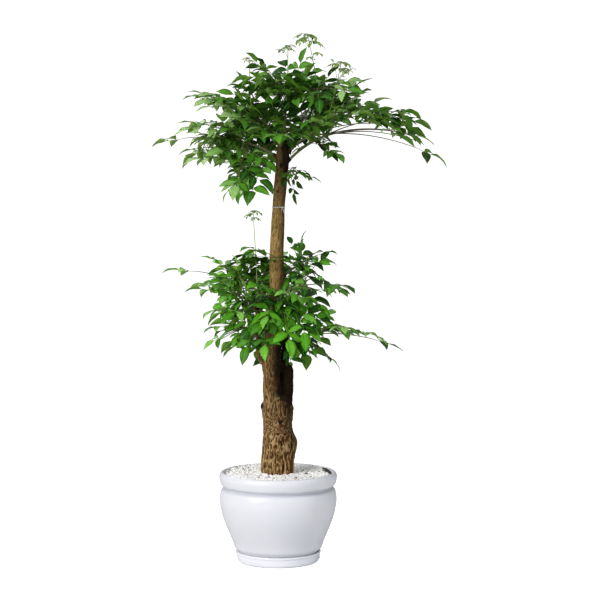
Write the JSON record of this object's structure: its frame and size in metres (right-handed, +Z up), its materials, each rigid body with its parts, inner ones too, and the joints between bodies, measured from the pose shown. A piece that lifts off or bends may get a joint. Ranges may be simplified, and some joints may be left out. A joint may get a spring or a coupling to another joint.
{
  "type": "china doll plant in a pot",
  "caption": "Tiered china doll tree with glossy compound leaves and pale young shoots on a corky forked trunk, in a round glazed pot with white gravel, on a saucer.",
  "frame": {"origin": "centre of the saucer's underside, where the whole plant stands", "axes": "+Z up along the trunk, +Y away from the side that the plant is seen from, +X to the right of that view"},
  "size_m": [1.0088, 0.7732, 1.7903],
  "materials": {
    "glaze": "gloss",
    "saucer_glaze": "gloss",
    "soil": "matte",
    "gravel": "matte",
    "bark": "matte",
    "leaf_upper": "satin",
    "leaf_lower": "satin",
    "leaf_young": "satin",
    "thread": "matte"
  },
  "bodies": {
    "root": {"saucer": "saucer_glaze", "pot": "glaze", "potting_soil": "soil", "pebbles": "gravel", "trunk": "bark", "tie_thread": "thread", "upper_shoot_left_low": "leaf_upper", "upper_shoot_left": "leaf_upper", "upper_shoot_left_high": "leaf_upper", "upper_shoot_front": "leaf_upper", "upper_shoot_top": "leaf_upper", "upper_shoot_right_high": "leaf_upper", "upper_shoot_right": "leaf_upper", "upper_shoot_right_long": "leaf_upper", "upper_shoot_right_low": "leaf_upper", "upper_shoot_back": "leaf_upper", "lower_shoot_left_long": "leaf_lower", "lower_shoot_left": "leaf_lower", "lower_shoot_left_down": "leaf_lower", "lower_shoot_front_left": "leaf_lower", "lower_shoot_front": "leaf_lower", "lower_shoot_right_low": "leaf_lower", "lower_shoot_right": "leaf_lower", "lower_shoot_right_high": "leaf_lower", "lower_shoot_back": "leaf_lower", "young_shoot_top": "leaf_young", "young_shoot_top_left": "leaf_young", "young_shoot_top_right": "leaf_young", "young_shoot_far_left": "leaf_young", "young_shoot_lone": "leaf_young"}
  },
  "joints": []
}
